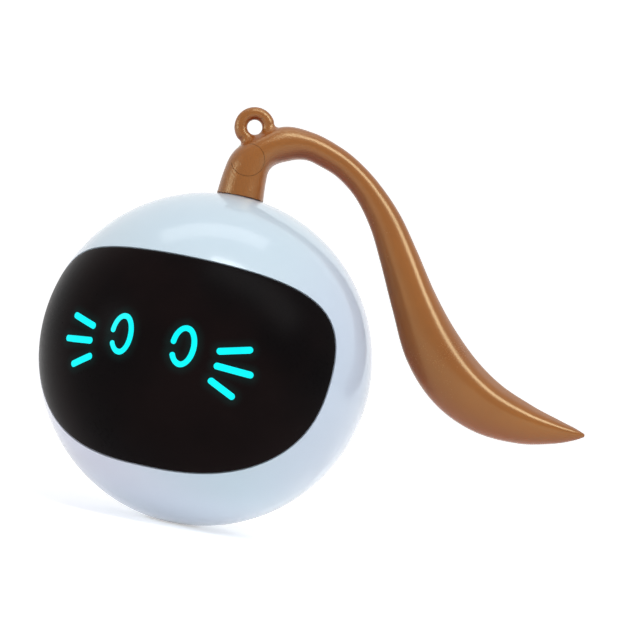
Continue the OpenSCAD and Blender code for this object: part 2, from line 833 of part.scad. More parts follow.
module output_gear() {
    color(white_nylon) difference() {
        union() {
            slice_x(top_wheel_x0 + 0.4, top_wheel_x1) rotate(idler_angle)
                gear_shape(wheel_teeth, -tooth_shift);
            rod_x(top_wheel_x0, top_wheel_x1, hub_r);
        }
        rod_x(-r_out, r_out, axle_r);
    }
}

idler_pin_r = 0.8;

module idler_gear() {
    color(white_nylon) difference() {
        union() {
            translate([0, idler_pos[0], idler_pos[1]]) slice_x(low_wheel_x0, low_wheel_x1)
                rotate(mesh_angle) gear_shape(wheel_teeth, -tooth_shift);
            translate([0, idler_pos[0], idler_pos[1]]) slice_x(top_wheel_x0 + 0.3, low_wheel_x0 + eps)
                rotate(idler_angle + 180 + 180 / pinion_teeth) gear_shape(pinion_teeth, tooth_shift);
            rod_x(motor_plate_x1 + end_float, low_wheel_x0, pinion_root - 0.1, idler_pos[0], idler_pos[1]);
        }
        rod_x(-r_out, r_out, idler_pin_r + run_gap, idler_pos[0], idler_pos[1]);
        rod_x(low_wheel_x1 - 0.6, low_wheel_x1 + 1, 1.9, idler_pos[0], idler_pos[1]);
    }
}

module idler_pin() {
    color(steel) union() {
        rod_x(motor_plate_x0, low_wheel_x1 - 0.1, idler_pin_r, idler_pos[0], idler_pos[1]);
        rod_x(low_wheel_x1 - 0.5, low_wheel_x1 - 0.1, 1.6, idler_pos[0], idler_pos[1]);
    }
}

module motor_pinion() {
    color(brass_tone) difference() {
        translate([0, motor_pos[0], motor_pos[1]]) slice_x(low_wheel_x0 - 0.2, low_wheel_x1 + 0.1)
            rotate(mesh_angle + 180 + 180 / pinion_teeth) gear_shape(pinion_teeth, tooth_shift);
        rod_x(-r_out, r_out, motor_shaft_r, motor_pos[0], motor_pos[1]);
    }
}

// Motor

motor_x1 = motor_plate_x0;
cap_t = 1.6;
motor_x0 = cap_t - sqrt(pow(ledge_r0 - motor_gap, 2) - pow(motor_far + motor_r, 2));
can_skin = 0.6;
front_skin = 2.2;
armature_r = motor_flat / 2 - can_skin - 0.5;

module motor_outline(x0, x1, skin) {
    translate([0, motor_pos[0], motor_pos[1]]) rotate([motor_angle, 0, 0]) intersection() {
        rod_x(x0, x1, motor_r - skin);
        box(x0 - 1, x1 + 1, -motor_flat / 2 + skin, motor_flat / 2 - skin, -motor_r, motor_r);
    }
}

module motor_can() {
    color(steel) difference() {
        union() {
            motor_outline(motor_x0, motor_x1, 0);
            rod_x(motor_x1 - eps, motor_x1 + plate_t - 0.3, motor_boss_r, motor_pos[0], motor_pos[1]);
        }
        motor_outline(motor_x0 - 1, motor_x1 - front_skin, can_skin);
        rod_x(-r_out, r_out, motor_shaft_r + run_gap, motor_pos[0], motor_pos[1]);
        for (p = motor_screw_pos) rod_x(motor_x1 - front_skin - 1, motor_x1 + 1, motor_screw_r, p[0], p[1]);
    }
}

module motor_end_cap() {
    color(black_plastic) difference() {
        union() {
            motor_outline(motor_x0 - cap_t, motor_x0, 0);
            motor_outline(motor_x0 - eps, motor_x0 + 0.8, can_skin);
        }
        rod_x(motor_x0 - 0.8, r_out, motor_shaft_r + run_gap, motor_pos[0], motor_pos[1]);
        rod_x(motor_x0 - cap_t / 4, motor_x0 + 2, armature_r - 0.6, motor_pos[0], motor_pos[1]);
    }
}

module motor_armature() {
    color(brass_tone) difference() {
        rod_x(motor_x0 + 1.2, motor_x1 - front_skin - 0.4, armature_r, motor_pos[0], motor_pos[1]);
        rod_x(-r_out, r_out, motor_shaft_r, motor_pos[0], motor_pos[1]);
        for (a = [0:120:240])
            translate([0, motor_pos[0] + 3.6 * cos(a), motor_pos[1] + 3.6 * sin(a)])
                rod_x(-r_out, r_out, 0.9);
    }
}

module motor_shaft() {
    color(steel) rod_x(motor_x0 - 0.7, low_wheel_x1 + 0.1, motor_shaft_r, motor_pos[0], motor_pos[1]);
}

module motor_screws() {
    color(steel) for (p = motor_screw_pos) translate([motor_plate_x1, p[0], p[1]]) rotate([0, 90, 0])
        screw(motor_screw_r, plate_t + front_skin - 0.4, 1.3, 0.7);
}

// Swing weight on its axle

module drive_axle() {
    color(steel) rod_x(motor_plate_x0 - 0.5, bearing_plate_x1 + 0.5, axle_r);
}

module axle_bushes() {
    color(brass_tone) {
        difference() {
            union() {
                rod_x(motor_plate_x0, motor_plate_x1 + eps, bush_r);
                rod_x(motor_plate_x1, motor_plate_x1 + flange_t, flange_r);
            }
            rod_x(-r_out, r_out, axle_r + run_gap);
        }
        difference() {
            union() {
                rod_x(bearing_plate_x0 - eps, bearing_plate_x1, bush_r);
                rod_x(bearing_plate_x0 - flange_t, bearing_plate_x0, flange_r);
            }
            rod_x(-r_out, r_out, axle_r + run_gap);
        }
    }
}

module weight_sector(r) {
    far = 2 * weight_r;
    half = weight_arc / 2;
    intersection() {
        circle(r = r);
        polygon([[0, 0], polar(far, -90 - half), polar(far * 1.5, -90), polar(far, -90 + half)]);
    }
}

module swing_weight() {
    web = 4;
    color(zinc) difference() {
        union() {
            slice_x(-weight_t / 2, weight_t / 2) difference() {
                weight_sector(weight_r);
                circle(r = weight_r * 0.42);
            }
            slice_x(-web / 2, web / 2) weight_sector(weight_r * 0.6);
            rod_x(-weight_t / 2, hub_x1, hub_r);
        }
        rod_x(-r_out, r_out, axle_r);
    }
}

// Battery

module battery_shelf() {
    color(frame_grey) {
        box(motor_plate_x1, bearing_plate_x0, -shelf_l / 2, shelf_l / 2, shelf_top - shelf_t, shelf_top);
        box(motor_plate_x0, bearing_plate_x1, -tab_w / 2, tab_w / 2, shelf_top - shelf_t, shelf_top);
    }
}

module battery_tape() {
    color(tape_white) box(cell_mid_x - cell_w / 2 + 1, cell_mid_x + cell_w / 2 - 1,
        -min(cell_l, shelf_l) / 2 + 1, min(cell_l, shelf_l) / 2 - 1, cell_top, shelf_top - shelf_t);
}

module battery_cell() {
    r = cell_t / 2 - 0.2;
    color(cell_silver) translate([cell_mid_x, 0, cell_top - cell_t]) {
        box(-cell_w / 2 + r, cell_w / 2 - r, -cell_l / 2, cell_l / 2, 0, cell_t);
        for (s = [-1, 1]) intersection() {
            translate([s * (cell_w / 2 - r), -cell_l / 2, cell_t / 2]) rotate([-90, 0, 0])
                cylinder(r = cell_t / 2, h = cell_l);
            box(s > 0 ? 0 : -cell_w / 2, s > 0 ? cell_w / 2 : 0, -cell_l, cell_l, 0, cell_t);
        }
    }
}

// Main board

module main_board() {
    color(board_green) difference() {
        box(-board_x, board_x, board_front, board_back, -board_z, board_z);
        for (sx = [-1, 1]) for (sz = [-1, 1])
            rod_y(board_front - 1, board_back + 1, board_screw_r, sx * board_post[0], sz * board_post[1]);
    }
}

module board_screws() {
    color(steel) for (sx = [-1, 1]) for (sz = [-1, 1])
        translate([sx * board_post[0], board_front, sz * board_post[1]]) rotate([90, 0, 0])
            screw(board_screw_r, board_t + 2.4, 1.5, 0.9);
}

module controller_chip() {
    color(black_plastic) {
        box(5.6, 10.8, board_back + 0.2, board_back + 1.3, -2.8, 2.8);
        for (i = [-2:2]) box(5, 11.4, board_back, board_back + 0.4, i - 0.2, i + 0.2);
    }
}

module vibration_sensor() {
    color(brass_tone) {
        rod_z(-4, 4, 1.6, -8.4, board_back + 1.9);
        for (z = [-3, 2]) box(-9, -7.8, board_back, board_back + 1, z, z + 1);
    }
}

module usb_socket() {
    back = board_back + 1.6;
    color(steel) difference() {
        port_hole(0, board_back, port_face + 0.6);
        port_hole(-socket_skin, back, 2 * r_out);
    }
    color(black_plastic) box(-3.35, 3.35, back - 0.1, port_face - 0.4, -port_drop - 0.35, -port_drop + 0.35);
}

module button_switch() {
    color(black_plastic) difference() {
        box(-3, 3, board_back, switch_top, button_rise - 3, button_rise + 3);
        rod_y(switch_top - 1.2, switch_top + 1, plunger_r + run_gap, 0, button_rise);
    }
}

module switch_plunger() {
    color(white_nylon) rod_y(switch_top - 0.6, button_foot, plunger_r, 0, button_rise);
}

module power_button() {
    color(shell_blue) intersection() {
        union() {
            rod_y(button_foot, r_out + 5, button_r, 0, button_rise);
            rod_y(button_foot, button_foot + button_flange_t, button_flange_r, 0, button_rise);
        }
        orb(r_out + button_proud);
    }
}

// Wires along smooth routes, square to what they are soldered to at both ends

function face_turned(p) = [p[0], p[1] * cos(face_tilt) + p[2] * sin(face_tilt),
    p[2] * cos(face_tilt) - p[1] * sin(face_tilt)];

module wire(route, up, leave, meet) {
    path = curve(route, 4);
    last = len(path) - 1;
    skin([for (j = [0:last])
        let (t = j == 0 ? leave : j == last ? meet : heading(path, j))
        let (side = unit(cross(t, up)))
        let (over = cross(side, t))
        [for (i = [0:7]) path[j] + wire_r * (cos(i * 45) * side + sin(i * 45) * over)]]);
}

// Points one behind the other in front of a place on the main board
function onto_board(x, z) = [for (d = [2.4, 1.2, 0]) [x, board_front - d, z]];

module battery_leads() {
    y0 = cell_l / 2;
    z0 = cell_top - cell_t / 2;
    z1 = -board_z + 4.2;
    color(wire_red) for (x = [-2, 2])
        wire(concat([[x, y0, z0], [x, y0 + 1.2, z0], [x, y0 + 2.4, z0],
            [x, (y0 + board_front) / 2 + 2, z0 + 3], [x, board_front - 3.4, z1 - 4]], onto_board(x, z1)),
            [1, 0, 0], [0, 1, 0], [0, 1, 0]);
}

module motor_leads() {
    x0 = motor_x0 - cap_t;
    y0 = motor_pos[0] + 2;
    notch_y = plate_back - lead_notch[0] / 2;
    x1 = motor_plate_x1 + 1.6;
    color(wire_red) for (s = [-1, 1])
        let (z0 = motor_pos[1] + 3 * s, z1 = 1.5 * s)
        wire(concat([[x0, y0, z0], [x0 - 0.8, y0, z0], [x0 - 1.6, y0 + 1, z0], [x0 - 1, y0 + 6, z0 / 2 + z1],
            [x0 + 4, notch_y / 2 + 2, z1], [motor_plate_x0 - 2, notch_y - 1, z1], [x1 - 1.2, notch_y, z1]],
            onto_board(x1, z1)), [0, 0, 1], [-1, 0, 0], [0, 1, 0]);
}

module led_leads() {
    x0 = lamp_w / 2 - 5;
    x1 = bearing_plate_x1 + wire_r + 0.7;
    side_x = bearing_plate_x1 + 8;
    color(wire_red) for (s = [-1, 1])
        wire(concat([for (d = [0, 1.2, 2.4]) face_turned([x0, -lamp_back + d, s - 3])],
            [[(x0 + side_x) / 2 + 1, plate_front + 2, s], [side_x, 0, 1.5 * s],
            [side_x - 1, plate_back / 2, 2 * s], [x1 + 3, plate_back - 1, 2 * s]], onto_board(x1, 2 * s)),
            [0, 0, 1], face_turned([0, 1, 0]), [0, 1, 0]);
}

seated() front_shell();
seated() rear_shell();
seated() shell_screws();
seated() face_window();
seated() face_light_guide();
seated() led_board();
seated() face_leds();
seated() led_board_screws();
seated() tail();
seated() tail_lock_pin();
seated() tail_stem();
seated() swivel_washer();
seated() swivel_screw();
seated() motor_plate();
seated() bearing_plate();
seated() tie_rods();
seated() frame_screws();
seated() motor_can();
seated() motor_end_cap();
seated() motor_armature();
seated() motor_shaft();
seated() motor_pinion();
seated() motor_screws();
seated() idler_gear();
seated() idler_pin();
seated() output_gear();
seated() drive_axle();
seated() axle_bushes();
seated() swing_weight();
seated() battery_shelf();
seated() battery_tape();
seated() battery_cell();
seated() main_board();
seated() controller_chip();
seated() vibration_sensor();
seated() usb_socket();
seated() button_switch();
seated() board_screws();
seated() switch_plunger();
seated() power_button();
seated() battery_leads();
seated() motor_leads();
seated() led_leads();
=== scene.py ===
import math

import bmesh
import bpy
import numpy as np
from mathutils import Matrix, Vector
from mathutils.bvhtree import BVHTree


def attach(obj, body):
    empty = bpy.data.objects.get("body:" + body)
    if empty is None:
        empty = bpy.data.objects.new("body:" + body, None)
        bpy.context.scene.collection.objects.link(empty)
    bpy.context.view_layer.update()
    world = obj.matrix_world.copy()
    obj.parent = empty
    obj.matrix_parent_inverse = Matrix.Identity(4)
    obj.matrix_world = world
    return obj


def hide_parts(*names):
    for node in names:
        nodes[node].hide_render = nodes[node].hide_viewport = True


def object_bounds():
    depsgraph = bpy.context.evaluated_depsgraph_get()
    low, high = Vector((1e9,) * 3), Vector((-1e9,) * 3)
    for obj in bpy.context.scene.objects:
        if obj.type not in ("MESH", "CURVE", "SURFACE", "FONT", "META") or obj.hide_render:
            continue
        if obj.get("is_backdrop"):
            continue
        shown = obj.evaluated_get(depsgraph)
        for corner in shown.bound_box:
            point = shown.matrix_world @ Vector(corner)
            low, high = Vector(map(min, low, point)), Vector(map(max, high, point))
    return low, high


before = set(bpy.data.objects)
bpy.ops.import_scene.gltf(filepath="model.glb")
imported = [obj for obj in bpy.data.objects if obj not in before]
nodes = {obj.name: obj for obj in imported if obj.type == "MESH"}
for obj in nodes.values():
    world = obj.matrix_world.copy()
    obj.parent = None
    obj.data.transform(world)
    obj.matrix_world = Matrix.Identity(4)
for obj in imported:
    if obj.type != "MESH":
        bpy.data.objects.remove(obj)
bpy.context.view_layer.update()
scene = bpy.context.scene
scene.view_settings.view_transform = "Standard"

# Camera: a long lens close to the floor, in front of the ball and a little to its right.
# It is rolled, so the ball leans to the right as it does in the picture.
ball_radius = 0.035
ball_centre = Vector((0.0, 0.0, ball_radius))
camera_turn = math.radians(18.73)
camera_rise = math.radians(-0.75)
camera_roll = math.radians(11.8)
radii_away = 12
camera_away = radii_away * ball_radius
picture_wide, picture_high = 625, 624
ball_at = (206.1, 358.8)
ball_seen_radius = 166.4
focal_pixels = ball_seen_radius / math.tan(math.asin(1 / radii_away))
sensor_wide = 36

back = Vector((math.sin(camera_turn) * math.cos(camera_rise),
               -math.cos(camera_turn) * math.cos(camera_rise), math.sin(camera_rise)))
level_right = Vector((math.cos(camera_turn), math.sin(camera_turn), 0))
level_up = back.cross(level_right)
picture_right = level_right * math.cos(camera_roll) + level_up * math.sin(camera_roll)
picture_up = level_up * math.cos(camera_roll) - level_right * math.sin(camera_roll)
toward_ball = Vector(((ball_at[0] - picture_wide / 2) / focal_pixels,
                      (picture_high / 2 - ball_at[1]) / focal_pixels, -1)).normalized()
aim = Matrix((picture_right, picture_up, back)).transposed()
swing = toward_ball.rotation_difference(Vector((0, 0, -1))).to_matrix()

camera_data = bpy.data.cameras.new("camera")
camera_data.sensor_fit = "HORIZONTAL"
camera_data.sensor_width = sensor_wide
camera_data.lens = focal_pixels / picture_wide * sensor_wide
camera_data.clip_start, camera_data.clip_end = 0.01, 20
camera = bpy.data.objects.new("camera", camera_data)
scene.collection.objects.link(camera)
camera.matrix_world = Matrix.Translation(ball_centre + back * camera_away) @ (aim @ swing).to_4x4()
scene.camera = camera


# Floor: a wide sheet of white studio paper that curves up behind the ball into a backdrop.
# It lights up for the camera, for gloss and for clear pieces, and keeps the ball's soft shadow.
def new_object(name, mesh):
    made = bpy.data.objects.new(name, mesh)
    scene.collection.objects.link(made)
    return made


def node_material(name):
    material = bpy.data.materials.new(name)
    material.use_nodes = True
    tree = material.node_tree
    tree.nodes.clear()
    return material, tree


def add(tree, kind, **values):
    made = tree.nodes.new(kind)
    for key, value in values.items():
        setattr(made, key, value)
    return made


def ranged(tree, value, low, high, to_low, to_high):
    made = add(tree, "ShaderNodeMapRange", interpolation_type="SMOOTHSTEP")
    tree.links.new(value, made.inputs["Value"])
    for label, number in (("From Min", low), ("From Max", high),
                          ("To Min", to_low), ("To Max", to_high)):
        if isinstance(number, (int, float)):
            made.inputs[label].default_value = number
        else:
            tree.links.new(number, made.inputs[label])
    return made.outputs["Result"]


def shows_white(tree):
    path = add(tree, "ShaderNodeLightPath")
    ways = path.outputs["Is Camera Ray"]
    for label in ("Is Glossy Ray", "Is Transmission Ray"):
        either = add(tree, "ShaderNodeMath", operation="MAXIMUM")
        tree.links.new(ways, either.inputs[0])
        tree.links.new(path.outputs[label], either.inputs[1])
        ways = either.outputs[0]
    return ways


paper_reach = 4.0
bend_starts, bend_radius, bend_cuts = 1.6, 0.8, 24
backdrop_top = 3.4
paper = bmesh.new()
paper_steps = []
for i in range(bend_cuts + 1):
    bend = math.radians(90) * i / bend_cuts
    paper_steps.append((bend_starts + bend_radius * math.sin(bend), bend_radius * (1 - math.cos(bend))))
paper_line = ([(-paper_reach, 0.0), (0.0, 0.0)] + paper_steps
              + [(bend_starts + bend_radius, backdrop_top)])
paper_rows = []
for along, high in paper_line:
    row = []
    for across in (-paper_reach, paper_reach):
        flat = -back.xy.normalized() * along + level_right.xy * across
        row.append(paper.verts.new((flat.x, flat.y, high)))
    paper_rows.append(row)
for low, top in zip(paper_rows, paper_rows[1:]):
    face = paper.faces.new((low[0], low[1], top[1], top[0]))
    face.smooth = True
paper_mesh = bpy.data.meshes.new("studio_paper")
paper.to_mesh(paper_mesh)
paper.free()
studio_paper = new_object("studio_paper", paper_mesh)
studio_paper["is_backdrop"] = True

paper_white = (0.93, 0.93, 0.93, 1)
lift_by_ball, lift_far_off = 0.5, 0.8
lift_grows_from, lift_grows_to = 0.1, 0.7
paper_look, tree = node_material("studio_paper_white")
out = add(tree, "ShaderNodeOutputMaterial")
matt = add(tree, "ShaderNodeBsdfDiffuse")
matt.inputs["Color"].default_value = paper_white
glow = add(tree, "ShaderNodeEmission")
lift = add(tree, "ShaderNodeMath", operation="MULTIPLY")
from_ball = add(tree, "ShaderNodeVectorMath", operation="LENGTH")
tree.links.new(add(tree, "ShaderNodeTexCoord").outputs["Object"], from_ball.inputs[0])
lift_there = ranged(tree, from_ball.outputs["Value"], lift_grows_from, lift_grows_to,
                    lift_by_ball, lift_far_off)
tree.links.new(lift_there, lift.inputs[1])
both = add(tree, "ShaderNodeAddShader")
tree.links.new(shows_white(tree), lift.inputs[0])
tree.links.new(lift.outputs[0], glow.inputs["Strength"])
tree.links.new(matt.outputs[0], both.inputs[0])
tree.links.new(glow.outputs[0], both.inputs[1])
tree.links.new(both.outputs[0], out.inputs["Surface"])
paper_mesh.materials.append(paper_look)


# Studio light: a wide box overhead for the crescent on the ball, a long strip at the upper right for the
# bright line along the tail, a box on the left for the neck and a plain fill behind. A faint panel below
# stands for the light that a white table throws up, and the room is even and pale.
almost_overhead = 0.9


def soft_box(name, place, size, power, lean=0.0):
    lamp = bpy.data.lights.new(name, "AREA")
    lamp.shape = "RECTANGLE"
    lamp.size, lamp.size_y = size
    lamp.energy = power
    made = bpy.data.objects.new(name, lamp)
    scene.collection.objects.link(made)
    right, up, nearer = place
    made.location = ball_centre + picture_right * right + picture_up * up + back * nearer
    facing = (made.location - ball_centre).normalized()
    overhead = abs(facing.dot(picture_up)) >= almost_overhead
    across = picture_right if overhead else picture_up.cross(facing)
    upward = facing.cross(across).normalized()
    across = upward.cross(facing)
    made.rotation_mode = "QUATERNION"
    level = Matrix((across, upward, facing)).transposed()
    turn = level @ Matrix.Rotation(math.radians(lean), 3, "Z")
    made.rotation_quaternion = turn.to_quaternion()
    return made


soft_box("overhead_box", place=(0.04, 0.6, -0.06), size=(0.54, 0.15), power=0.38)
soft_box("key_strip", place=(0.3, 0.42, 0.3), size=(0.7, 0.2), power=2.9, lean=-55)
soft_box("left_box", place=(-0.52, 0.18, 0.23), size=(0.22, 0.24), power=0.9)
back_fill = soft_box("back_fill", place=(0.05, 0.34, -0.62), size=(0.5, 0.36), power=0.9)
back_fill.visible_glossy = False
under_light = bpy.data.lights.new("under_light", "AREA")
under_light.shape = "SQUARE"
under_light.size, under_light.energy = 0.3, 0.05
under_panel = bpy.data.objects.new("under_light", under_light)
scene.collection.objects.link(under_panel)
under_panel.location = (0.01, -0.01, 0.0005)
under_panel.rotation_euler = (math.pi, 0, 0)
under_panel.visible_glossy = False

room_strength = 0.29
room = bpy.data.worlds.new("pale_room")
room.use_nodes = True
tree = room.node_tree
walls = tree.nodes["Background"]
walls.inputs["Color"].default_value = (1, 1, 1, 1)
room_light = add(tree, "ShaderNodeMath", operation="MAXIMUM")
room_light.inputs[1].default_value = room_strength
tree.links.new(shows_white(tree), room_light.inputs[0])
tree.links.new(room_light.outputs[0], walls.inputs["Strength"])
scene.world = room


# Ball shell: a front and a rear moulding in glossy pale blue plastic, with the button in the same.
# The tint is painted with light over the ball: a deeper blue on the right and lilac low on the left are
# painted reflections, and the paler back and foot are painted light.
def shader(tree, **constants):
    out = add(tree, "ShaderNodeOutputMaterial")
    made = add(tree, "ShaderNodeBsdfPrincipled")
    tree.links.new(made.outputs["BSDF"], out.inputs["Surface"])
    for label, value in constants.items():
        made.inputs[label.replace("_", " ")].default_value = value
    return made


def node_group(name, takes, gives):
    group = bpy.data.node_groups.new(name, "ShaderNodeTree")
    for label, kind, value in takes:
        made = group.interface.new_socket(label, in_out="INPUT", socket_type="NodeSocket" + kind)
        made.default_value = value
    for label, kind in gives:
        group.interface.new_socket(label, in_out="OUTPUT", socket_type="NodeSocket" + kind)
    return group, add(group, "NodeGroupInput"), add(group, "NodeGroupOutput")


def noise(tree, scale, detail=2.0, rough=0.5, stretch=None):
    place = add(tree, "ShaderNodeTexCoord").outputs["Object"]
    if stretch:
        turn = add(tree, "ShaderNodeMapping")
        turn.inputs["Scale"].default_value = stretch
        tree.links.new(place, turn.inputs["Vector"])
        place = turn.outputs["Vector"]
    made = add(tree, "ShaderNodeTexNoise")
    made.inputs["Detail"].default_value = detail
    made.inputs["Roughness"].default_value = rough
    if isinstance(scale, (int, float)):
        made.inputs["Scale"].default_value = scale
    else:
        tree.links.new(scale, made.inputs["Scale"])
    tree.links.new(place, made.inputs["Vector"])
    return made.outputs["Fac"]


def mixed(tree, share, first, second):
    made = add(tree, "ShaderNodeMix", data_type="RGBA")
    for socket, value in zip((made.inputs[0], made.inputs[6], made.inputs[7]), (share, first, second)):
        if isinstance(value, (int, float, tuple)):
            socket.default_value = value
        else:
            tree.links.new(value, socket)
    return made.outputs[2]


def worked(tree, operation, first, second):
    made = add(tree, "ShaderNodeMath", operation=operation)
    for socket, value in zip(made.inputs, (first, second)):
        if isinstance(value, (int, float)):
            socket.default_value = value
        else:
            tree.links.new(value, socket)
    return made.outputs[0]


def bumped(tree, height, strength, distance):
    made = add(tree, "ShaderNodeBump")
    made.inputs["Strength"].default_value = strength
    made.inputs["Distance"].default_value = distance
    tree.links.new(height, made.inputs["Height"])
    return made.outputs["Normal"]


def linear(red, green, blue):
    curve = [c / 255 / 12.92 if c <= 10 else ((c / 255 + 0.055) / 1.055) ** 2.4
             for c in (red, green, blue)]
    return (curve[0], curve[1], curve[2], 1)


def dress(names, material):
    for name in names:
        for place in nodes[name].material_slots:
            place.material = material


moulded, start, end = node_group(
    "moulded_plastic",
    [("Tint", "Color", (0.8, 0.8, 0.8, 1)), ("Deep Tint", "Color", (0.7, 0.7, 0.7, 1)),
     ("Mottle", "Float", 60.0), ("Grain", "Float", 2500.0), ("Gloss", "Float", 0.2), ("Matt", "Float", 0.3)],
    [("Color", "Color"), ("Roughness", "Float"), ("Height", "Float")])
cloudy = noise(moulded, start.outputs["Mottle"], detail=3.0)
fine = noise(moulded, start.outputs["Grain"], detail=2.0)
cloudy_share, fine_share = 0.6, 0.4
moulded_tint = mixed(moulded, ranged(moulded, cloudy, 0.3, 0.7, 0.0, 1.0),
                     start.outputs["Tint"], start.outputs["Deep Tint"])
wear = worked(moulded, "ADD", worked(moulded, "MULTIPLY", cloudy, cloudy_share),
              worked(moulded, "MULTIPLY", fine, fine_share))
moulded_gloss = ranged(moulded, wear, 0.3, 0.7, start.outputs["Gloss"], start.outputs["Matt"])
moulded.links.new(moulded_tint, end.inputs["Color"])
moulded.links.new(moulded_gloss, end.inputs["Roughness"])
moulded.links.new(fine, end.inputs["Height"])
grain_deep = 0.0001


def plastic(name, tint, deep, mottle, grain, gloss, matt, depth=None, **constants):
    material, tree = node_material(name)
    surface = shader(tree, **constants)
    skin = add(tree, "ShaderNodeGroup", node_tree=moulded)
    for label, value in (("Tint", tint), ("Deep Tint", deep), ("Mottle", mottle), ("Grain", grain),
                         ("Gloss", gloss), ("Matt", matt)):
        skin.inputs[label].default_value = value
    tree.links.new(skin.outputs["Color"], surface.inputs["Base Color"])
    tree.links.new(skin.outputs["Roughness"], surface.inputs["Roughness"])
    if depth is not None:
        tree.links.new(bumped(tree, skin.outputs["Height"], depth, grain_deep), surface.inputs["Normal"])
    return material, tree, surface, skin


shell_look, tree, surface, skin = plastic(
    "pale_blue_gloss", linear(195, 212, 223), linear(191, 209, 222),
    mottle=28.0, grain=900.0, gloss=0.09, matt=0.14, depth=0.02,
    IOR=1.47, Specular_IOR_Level=0.5,
    Sheen_Weight=0.3, Sheen_Roughness=0.3, Sheen_Tint=(0.95, 0.95, 1.0, 1))
place = add(tree, "ShaderNodeTexCoord")
split = add(tree, "ShaderNodeSeparateXYZ")
tree.links.new(place.outputs["Object"], split.inputs["Vector"])
left_share, low_share = 0.6, 0.5
over_middle = worked(tree, "SUBTRACT", split.outputs["Z"], ball_radius)
painted_lilac_reach = worked(tree, "ADD", worked(tree, "MULTIPLY", split.outputs["X"], left_share),
                  worked(tree, "MULTIPLY", over_middle, low_share))
# Painted reflections and painted light: deeper blue on the right, lilac low on the left, paler at the back
# and at the foot.
painted_reflection_blue, painted_reflection_lilac = linear(190, 203, 220), linear(198, 201, 216)
painted_light_rear, painted_light_foot = linear(210, 220, 232), linear(207, 219, 234)
tint = skin.outputs["Color"]
for share, colour in ((ranged(tree, split.outputs["X"], 0.016, 0.033, 0.0, 1.0), painted_reflection_blue),
                      (ranged(tree, painted_lilac_reach, -0.02, 0.0, 1.0, 0.0), painted_reflection_lilac),
                      (ranged(tree, split.outputs["Y"], -0.004, 0.024, 0.0, 1.0), painted_light_rear),
                      (ranged(tree, split.outputs["Z"], 0.0, 0.011, 1.0, 0.0), painted_light_foot)):
    tint = mixed(tree, share, tint, colour)
tree.links.new(tint, surface.inputs["Base Color"])
dress(("front_shell", "rear_shell", "power_button"), shell_look)


# Face window: a curved moulding in smoked plastic, polished, with a rolled edge, glued in the front shell.
# The strokes of the light guide come through slots in it, and a faint painted cyan glow on the window round
# them stands for the light that leaks there.
face_tilt = math.radians(-7)
window_thick = 0.0014
window_roll = 0.00045
window_side, window_top, window_foot, window_middle = 65, 25.3, -49.4, -7.5
upper_power, lower_power = 4.46, 2.43
face_turn = Matrix.Translation(ball_centre) @ Matrix.Rotation(face_tilt, 4, "X")


def face_way(side, up):
    side, up = math.radians(side), math.radians(up)
    return Vector((math.sin(side) * math.cos(up), -math.cos(side) * math.cos(up), math.sin(up)))


def window_edge(turn, inset):
    upper = math.sin(turn) >= 0
    power = upper_power if upper else lower_power
    high = window_top - window_middle if upper else window_middle - window_foot
    reach = (abs(math.cos(turn)) ** power + abs(math.sin(turn)) ** power) ** (-1 / power)
    grow = -math.degrees(inset / ball_radius)
    return (window_side + grow) * reach * math.cos(turn), (high + grow) * reach * math.sin(turn)


def closed_mesh(name, mesh):
    bmesh.ops.recalc_face_normals(mesh, faces=mesh.faces)
    made = bpy.data.meshes.new(name)
    mesh.to_mesh(made)
    mesh.free()
    return made


def applied(item):
    bpy.context.view_layer.update()
    worked_out = item.evaluated_get(bpy.context.evaluated_depsgraph_get())
    made = bpy.data.meshes.new_from_object(worked_out)
    old = item.data
    item.modifiers.clear()
    item.data = made
    bpy.data.meshes.remove(old)


def carve(item, tool_mesh, operation="DIFFERENCE"):
    tool = new_object("tool", tool_mesh)
    cut = item.modifiers.new("cut", "BOOLEAN")
    cut.operation = operation
    cut.solver = "EXACT"
    cut.object = tool
    applied(item)
    bpy.data.objects.remove(tool)
    bpy.data.meshes.remove(tool_mesh)


def smooth_shaded(item, degrees):
    item.data.shade_smooth()
    item.data.set_sharp_from_angle(angle=math.radians(degrees))


edge_steps, front_rings, rear_rings = 200, 24, 8
roll_steps = [window_roll * (1 - math.cos(math.radians(a))) for a in range(0, 91, 15)]
window = bmesh.new()
rings = []
window_rows = [(0.0, 1.0, ball_radius - window_thick)]
for step in roll_steps:
    drop = window_roll - math.sqrt(max(0.0, window_roll ** 2 - (window_roll - step) ** 2))
    window_rows.append((step, 1.0, ball_radius - drop))
window_rows += [(window_roll, k / front_rings, ball_radius) for k in range(front_rings - 1, 0, -1)]
under_rows = [(0.0, k / rear_rings, ball_radius - window_thick) for k in range(1, rear_rings)]
for inset, share, radius in under_rows + window_rows:
    ring = []
    for i in range(edge_steps):
        side, up = window_edge(2 * math.pi * i / edge_steps, inset)
        way = face_way(side * share, window_middle + up * share)
        ring.append(window.verts.new(face_turn @ (way * radius)))
    rings.append(ring)
for near, far in zip(rings, rings[1:]):
    for i in range(edge_steps):
        j = (i + 1) % edge_steps
        window.faces.new((near[i], near[j], far[j], far[i]))
for ring, radius in ((rings[0], ball_radius - window_thick), (rings[-1], ball_radius)):
    middle = window.verts.new(face_turn @ (face_way(0, window_middle) * radius))
    for i in range(edge_steps):
        window.faces.new((ring[i], ring[(i + 1) % edge_steps], middle))
window_piece = new_object("smoked_window", closed_mesh("smoked_window", window))

eye_side, eye_low = 10.75, 5.15
eye_wide, eye_high, eye_stroke = 0.0052, 0.0082, 0.00105
whisker_wide = 0.00125
